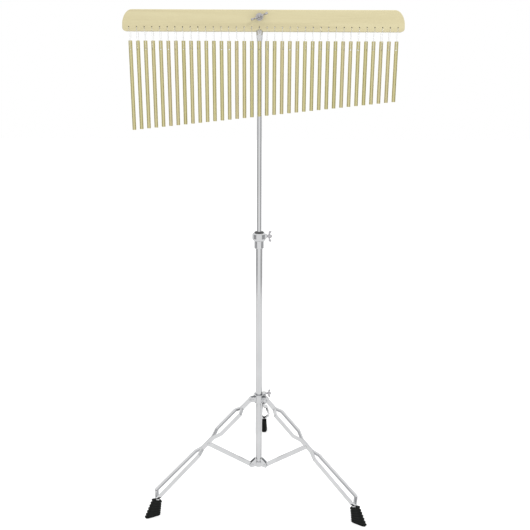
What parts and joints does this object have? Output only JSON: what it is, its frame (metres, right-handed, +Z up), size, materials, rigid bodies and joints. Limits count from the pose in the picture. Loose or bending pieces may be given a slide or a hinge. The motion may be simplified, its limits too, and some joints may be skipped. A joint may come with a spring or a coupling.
{
  "type": "bar chimes on stand",
  "caption": "Bar chimes: graded gold aluminium bars hung on nylon loops from a wooden mantle, on a height-adjustable chrome tripod stand.",
  "frame": {"origin": "bottom centre of the whole object's box, on the floor; X is centred on the wooden mantle", "axes": "+X along the mantle towards the short chimes, +Y away from the player's side with the wing nut, +Z up"},
  "size_m": [0.7, 0.552, 1.351],
  "materials": {
    "chimes": "drawn aluminium bar, pale gold anodised",
    "mantle_wood": "satin lacquered pale pine",
    "nylon": "clear nylon line",
    "chrome": "bright chrome plate on steel",
    "bush": "black nylon",
    "foot_rubber": "matte black rubber",
    "zinc_steel": "bright zinc plate"
  },
  "bodies": {
    "column": {"column": "chrome", "height_clamp": "chrome", "hub": "chrome", "hub_rivets": "chrome"},
    "clamp_bush": {"clamp_bush": "bush"},
    "mast": {"mast": "chrome", "mantle_bolt": "zinc_steel"},
    "mantle": {"mantle": "mantle_wood", "nylon_loops": "nylon", "mantle_washer": "zinc_steel"},
    "mantle_wing_nut": {"mantle_wing_nut": "zinc_steel"},
    "clamp_wing_screw": {"clamp_wing_screw": "chrome"},
    "leg_collar": {"leg_collar": "chrome", "collar_rivets": "chrome"},
    "collar_wing_screw": {"collar_wing_screw": "chrome"},
    "brace_rear": {"brace_rear": "chrome"},
    "leg_rear": {"leg_rear": "chrome", "foot_rear": "foot_rubber"},
    "brace_left": {"brace_left": "chrome"},
    "leg_left": {"leg_left": "chrome", "foot_left": "foot_rubber"},
    "brace_right": {"brace_right": "chrome"},
    "leg_right": {"leg_right": "chrome", "foot_right": "foot_rubber"},
    "chime_01": {"chime_01": "chimes"},
    "chime_02": {"chime_02": "chimes"},
    "chime_03": {"chime_03": "chimes"},
    "chime_04": {"chime_04": "chimes"},
    "chime_05": {"chime_05": "chimes"},
    "chime_06": {"chime_06": "chimes"},
    "chime_07": {"chime_07": "chimes"},
    "chime_08": {"chime_08": "chimes"},
    "chime_09": {"chime_09": "chimes"},
    "chime_10": {"chime_10": "chimes"},
    "chime_11": {"chime_11": "chimes"},
    "chime_12": {"chime_12": "chimes"},
    "chime_13": {"chime_13": "chimes"},
    "chime_14": {"chime_14": "chimes"},
    "chime_15": {"chime_15": "chimes"},
    "chime_16": {"chime_16": "chimes"},
    "chime_17": {"chime_17": "chimes"},
    "chime_18": {"chime_18": "chimes"},
    "chime_19": {"chime_19": "chimes"},
    "chime_20": {"chime_20": "chimes"},
    "chime_21": {"chime_21": "chimes"},
    "chime_22": {"chime_22": "chimes"},
    "chime_23": {"chime_23": "chimes"},
    "chime_24": {"chime_24": "chimes"},
    "chime_25": {"chime_25": "chimes"},
    "chime_26": {"chime_26": "chimes"},
    "chime_27": {"chime_27": "chimes"},
    "chime_28": {"chime_28": "chimes"},
    "chime_29": {"chime_29": "chimes"},
    "chime_30": {"chime_30": "chimes"},
    "chime_31": {"chime_31": "chimes"},
    "chime_32": {"chime_32": "chimes"},
    "chime_33": {"chime_33": "chimes"},
    "chime_34": {"chime_34": "chimes"},
    "chime_35": {"chime_35": "chimes"},
    "chime_36": {"chime_36": "chimes"}
  },
  "joints": [
    {"name": "legs_fold", "type": "hinge", "parent": "column", "child": "brace_rear", "pos_m": [-0.00848, -0.05544, 0.076], "axis": [0.999, -0.0436, 0], "range_deg": [0, 42.21]},
    {"name": "brace_left_hinge", "type": "hinge", "parent": "column", "child": "brace_left", "pos_m": [-0.03081, -0.0905, 0.076], "axis": [-0.4617, 0.887, 0], "range_deg": [0, 42.21]},
    {"name": "brace_right_hinge", "type": "hinge", "parent": "column", "child": "brace_right", "pos_m": [0.01072, -0.09231, 0.076], "axis": [-0.5373, -0.8434, 0], "range_deg": [0, 42.21]},
    {"name": "leg_rear_hinge", "type": "hinge", "parent": "brace_rear", "child": "leg_rear", "pos_m": [-0.00246, 0.08243, 0.183], "axis": [0.999, -0.0436, 0], "range_deg": [-84.43, 0]},
    {"name": "leg_left_hinge", "type": "hinge", "parent": "brace_left", "child": "leg_left", "pos_m": [-0.15322, -0.15422, 0.183], "axis": [-0.4617, 0.887, 0], "range_deg": [-84.43, 0]},
    {"name": "leg_right_hinge", "type": "hinge", "parent": "brace_right", "child": "leg_right", "pos_m": [0.1271, -0.16646, 0.183], "axis": [-0.5373, -0.8434, 0], "range_deg": [-84.43, 0]},
    {"name": "leg_collar_slide", "type": "slide", "parent": "column", "child": "leg_collar", "axis": [0, 0, 1], "range_m": [0, 0.1301]},
    {"name": "mast_turn", "type": "hinge", "parent": "column", "child": "clamp_bush", "pos_m": [-0.00953, -0.07941, 0.78], "axis": [0, 0, 1], "continuous": true},
    {"name": "mast_height", "type": "slide", "parent": "clamp_bush", "child": "mast", "axis": [0, 0, 1], "range_m": [-0.28, 0.08]},
    {"name": "mantle_tilt", "type": "hinge", "parent": "mast", "child": "mantle", "pos_m": [-0.00953, -0.09441, 1.334], "axis": [0, 1, 0], "range_deg": [-10, 10]},
    {"name": "mantle_nut_turn", "type": "hinge", "parent": "mast", "child": "mantle_wing_nut", "pos_m": [-0.00953, -0.11141, 1.334], "axis": [0, 1, 0], "continuous": true},
    {"name": "clamp_screw_turn", "type": "hinge", "parent": "column", "child": "clamp_wing_screw", "pos_m": [-0.00953, -0.07941, 0.7745], "axis": [0.9903, -0.1392, 0], "continuous": true},
    {"name": "collar_screw_turn", "type": "hinge", "parent": "leg_collar", "child": "collar_wing_screw", "pos_m": [-0.00953, -0.07941, 0.304], "axis": [0.9998, 0.0175, 0], "continuous": true},
    {"name": "chime_01_swing", "type": "hinge", "parent": "mantle", "child": "chime_01", "pos_m": [-0.33337, -0.09441, 1.309], "axis": [0, 1, 0], "range_deg": [-2.05, 2.05], "deforming": ["nylon_loops"]},
    {"name": "chime_02_swing", "type": "hinge", "parent": "mantle", "child": "chime_02", "pos_m": [-0.31433, -0.09441, 1.309], "axis": [0, 1, 0], "range_deg": [-2.06, 2.06], "deforming": ["nylon_loops"]},
    {"name": "chime_03_swing", "type": "hinge", "parent": "mantle", "child": "chime_03", "pos_m": [-0.29528, -0.09441, 1.309], "axis": [0, 1, 0], "range_deg": [-2.08, 2.08], "deforming": ["nylon_loops"]},
    {"name": "chime_04_swing", "type": "hinge", "parent": "mantle", "child": "chime_04", "pos_m": [-0.27622, -0.09441, 1.309], "axis": [0, 1, 0], "range_deg": [-2.1, 2.1], "deforming": ["nylon_loops"]},
    {"name": "chime_05_swing", "type": "hinge", "parent": "mantle", "child": "chime_05", "pos_m": [-0.25717, -0.09441, 1.309], "axis": [0, 1, 0], "range_deg": [-2.12, 2.12], "deforming": ["nylon_loops"]},
    {"name": "chime_06_swing", "type": "hinge", "parent": "mantle", "child": "chime_06", "pos_m": [-0.23813, -0.09441, 1.309], "axis": [0, 1, 0], "range_deg": [-2.14, 2.14], "deforming": ["nylon_loops"]},
    {"name": "chime_07_swing", "type": "hinge", "parent": "mantle", "child": "chime_07", "pos_m": [-0.21907, -0.09441, 1.309], "axis": [0, 1, 0], "range_deg": [-2.15, 2.15], "deforming": ["nylon_loops"]},
    {"name": "chime_08_swing", "type": "hinge", "parent": "mantle", "child": "chime_08", "pos_m": [-0.20003, -0.09441, 1.309], "axis": [0, 1, 0], "range_deg": [-2.17, 2.17], "deforming": ["nylon_loops"]},
    {"name": "chime_09_swing", "type": "hinge", "parent": "mantle", "child": "chime_09", "pos_m": [-0.18097, -0.09441, 1.309], "axis": [0, 1, 0], "range_deg": [-2.19, 2.19], "deforming": ["nylon_loops"]},
    {"name": "chime_10_swing", "type": "hinge", "parent": "mantle", "child": "chime_10", "pos_m": [-0.16193, -0.09441, 1.309], "axis": [0, 1, 0], "range_deg": [-2.21, 2.21], "deforming": ["nylon_loops"]},
    {"name": "chime_11_swing", "type": "hinge", "parent": "mantle", "child": "chime_11", "pos_m": [-0.14288, -0.09441, 1.309], "axis": [0, 1, 0], "range_deg": [-2.23, 2.23], "deforming": ["nylon_loops"]},
    {"name": "chime_12_swing", "type": "hinge", "parent": "mantle", "child": "chime_12", "pos_m": [-0.12383, -0.09441, 1.309], "axis": [0, 1, 0], "range_deg": [-2.25, 2.25], "deforming": ["nylon_loops"]},
    {"name": "chime_13_swing", "type": "hinge", "parent": "mantle", "child": "chime_13", "pos_m": [-0.10477, -0.09441, 1.309], "axis": [0, 1, 0], "range_deg": [-2.27, 2.27], "deforming": ["nylon_loops"]},
    {"name": "chime_14_swing", "type": "hinge", "parent": "mantle", "child": "chime_14", "pos_m": [-0.08572, -0.09441, 1.309], "axis": [0, 1, 0], "range_deg": [-2.29, 2.29], "deforming": ["nylon_loops"]},
    {"name": "chime_15_swing", "type": "hinge", "parent": "mantle", "child": "chime_15", "pos_m": [-0.06667, -0.09441, 1.309], "axis": [0, 1, 0], "range_deg": [-2.32, 2.32], "deforming": ["nylon_loops"]},
    {"name": "chime_16_swing", "type": "hinge", "parent": "mantle", "child": "chime_16", "pos_m": [-0.04763, -0.09441, 1.309], "axis": [0, 1, 0], "range_deg": [-2.34, 2.34], "deforming": ["nylon_loops"]},
    {"name": "chime_17_swing", "type": "hinge", "parent": "mantle", "child": "chime_17", "pos_m": [-0.02857, -0.09441, 1.309], "axis": [0, 1, 0], "range_deg": [-2.36, 2.36], "deforming": ["nylon_loops"]},
    {"name": "chime_18_swing", "type": "hinge", "parent": "mantle", "child": "chime_18", "pos_m": [-0.00953, -0.09441, 1.309], "axis": [0, 1, 0], "range_deg": [-2.38, 2.38], "deforming": ["nylon_loops"]},
    {"name": "chime_19_swing", "type": "hinge", "parent": "mantle", "child": "chime_19", "pos_m": [0.00953, -0.09441, 1.309], "axis": [0, 1, 0], "range_deg": [-2.41, 2.41], "deforming": ["nylon_loops"]},
    {"name": "chime_20_swing", "type": "hinge", "parent": "mantle", "child": "chime_20", "pos_m": [0.02857, -0.09441, 1.309], "axis": [0, 1, 0], "range_deg": [-2.43, 2.43], "deforming": ["nylon_loops"]},
    {"name": "chime_21_swing", "type": "hinge", "parent": "mantle", "child": "chime_21", "pos_m": [0.04763, -0.09441, 1.309], "axis": [0, 1, 0], "range_deg": [-2.45, 2.45], "deforming": ["nylon_loops"]},
    {"name": "chime_22_swing", "type": "hinge", "parent": "mantle", "child": "chime_22", "pos_m": [0.06667, -0.09441, 1.309], "axis": [0, 1, 0], "range_deg": [-2.48, 2.48], "deforming": ["nylon_loops"]},
    {"name": "chime_23_swing", "type": "hinge", "parent": "mantle", "child": "chime_23", "pos_m": [0.08572, -0.09441, 1.309], "axis": [0, 1, 0], "range_deg": [-2.5, 2.5], "deforming": ["nylon_loops"]},
    {"name": "chime_24_swing", "type": "hinge", "parent": "mantle", "child": "chime_24", "pos_m": [0.10477, -0.09441, 1.309], "axis": [0, 1, 0], "range_deg": [-2.53, 2.53], "deforming": ["nylon_loops"]},
    {"name": "chime_25_swing", "type": "hinge", "parent": "mantle", "child": "chime_25", "pos_m": [0.12383, -0.09441, 1.309], "axis": [0, 1, 0], "range_deg": [-2.55, 2.55], "deforming": ["nylon_loops"]},
    {"name": "chime_26_swing", "type": "hinge", "parent": "mantle", "child": "chime_26", "pos_m": [0.14288, -0.09441, 1.309], "axis": [0, 1, 0], "range_deg": [-2.58, 2.58], "deforming": ["nylon_loops"]},
    {"name": "chime_27_swing", "type": "hinge", "parent": "mantle", "child": "chime_27", "pos_m": [0.16193, -0.09441, 1.309], "axis": [0, 1, 0], "range_deg": [-2.61, 2.61], "deforming": ["nylon_loops"]},
    {"name": "chime_28_swing", "type": "hinge", "parent": "mantle", "child": "chime_28", "pos_m": [0.18097, -0.09441, 1.309], "axis": [0, 1, 0], "range_deg": [-2.64, 2.64], "deforming": ["nylon_loops"]},
    {"name": "chime_29_swing", "type": "hinge", "parent": "mantle", "child": "chime_29", "pos_m": [0.20003, -0.09441, 1.309], "axis": [0, 1, 0], "range_deg": [-2.66, 2.66], "deforming": ["nylon_loops"]},
    {"name": "chime_30_swing", "type": "hinge", "parent": "mantle", "child": "chime_30", "pos_m": [0.21907, -0.09441, 1.309], "axis": [0, 1, 0], "range_deg": [-2.69, 2.69], "deforming": ["nylon_loops"]},
    {"name": "chime_31_swing", "type": "hinge", "parent": "mantle", "child": "chime_31", "pos_m": [0.23813, -0.09441, 1.309], "axis": [0, 1, 0], "range_deg": [-2.72, 2.72], "deforming": ["nylon_loops"]},
    {"name": "chime_32_swing", "type": "hinge", "parent": "mantle", "child": "chime_32", "pos_m": [0.25717, -0.09441, 1.309], "axis": [0, 1, 0], "range_deg": [-2.75, 2.75], "deforming": ["nylon_loops"]},
    {"name": "chime_33_swing", "type": "hinge", "parent": "mantle", "child": "chime_33", "pos_m": [0.27622, -0.09441, 1.309], "axis": [0, 1, 0], "range_deg": [-2.78, 2.78], "deforming": ["nylon_loops"]},
    {"name": "chime_34_swing", "type": "hinge", "parent": "mantle", "child": "chime_34", "pos_m": [0.29528, -0.09441, 1.309], "axis": [0, 1, 0], "range_deg": [-2.82, 2.82], "deforming": ["nylon_loops"]},
    {"name": "chime_35_swing", "type": "hinge", "parent": "mantle", "child": "chime_35", "pos_m": [0.31433, -0.09441, 1.309], "axis": [0, 1, 0], "range_deg": [-2.85, 2.85], "deforming": ["nylon_loops"]},
    {"name": "chime_36_swing", "type": "hinge", "parent": "mantle", "child": "chime_36", "pos_m": [0.33337, -0.09441, 1.309], "axis": [0, 1, 0], "range_deg": [-2.88, 2.88], "deforming": ["nylon_loops"]}
  ],
  "couplings": [
    {"joint": "brace_left_hinge", "follows": "legs_fold", "ratio": 1},
    {"joint": "brace_right_hinge", "follows": "legs_fold", "ratio": 1},
    {"joint": "leg_rear_hinge", "follows": "legs_fold", "ratio": -2},
    {"joint": "leg_left_hinge", "follows": "legs_fold", "ratio": -2},
    {"joint": "leg_right_hinge", "follows": "legs_fold", "ratio": -2},
    {"joint": "leg_collar_slide", "follows": "legs_fold", "m_per_rad": 0.17637}
  ]
}
